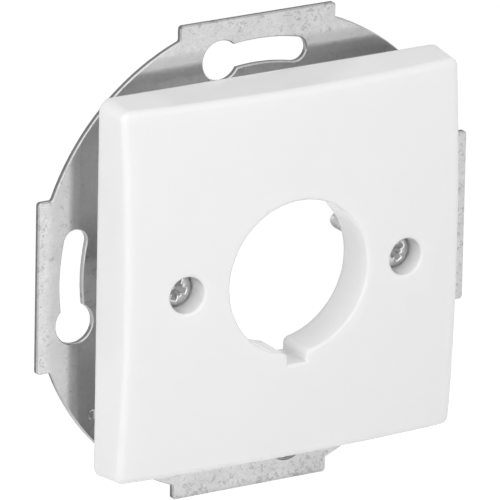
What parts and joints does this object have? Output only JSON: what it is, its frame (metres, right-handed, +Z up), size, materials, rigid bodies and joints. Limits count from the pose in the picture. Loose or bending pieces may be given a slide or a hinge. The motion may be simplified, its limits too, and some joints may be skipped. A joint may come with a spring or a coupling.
{
  "type": "xlr connector wall insert",
  "caption": "Square white cover plate with a keyed round connector hole, screwed to a stamped steel support ring that fixes to a round wall box.",
  "frame": {"origin": "centre of the support ring on the wall plane, which is the ring's back face", "axes": "+Z up, +X right as seen from the room, +Y into the wall; the cover plate faces -Y"},
  "size_m": [0.071, 0.0197, 0.071],
  "materials": {
    "plate_plastic": "smooth white thermoplastic, glossy",
    "ring_steel": "zinc-coated sheet steel, satin and slightly mottled",
    "screw_steel": "bright zinc-plated steel"
  },
  "bodies": {
    "root": {"cover_plate": "plate_plastic", "support_ring": "ring_steel", "fixing_screw_left": "screw_steel", "fixing_screw_right": "screw_steel"}
  },
  "joints": []
}
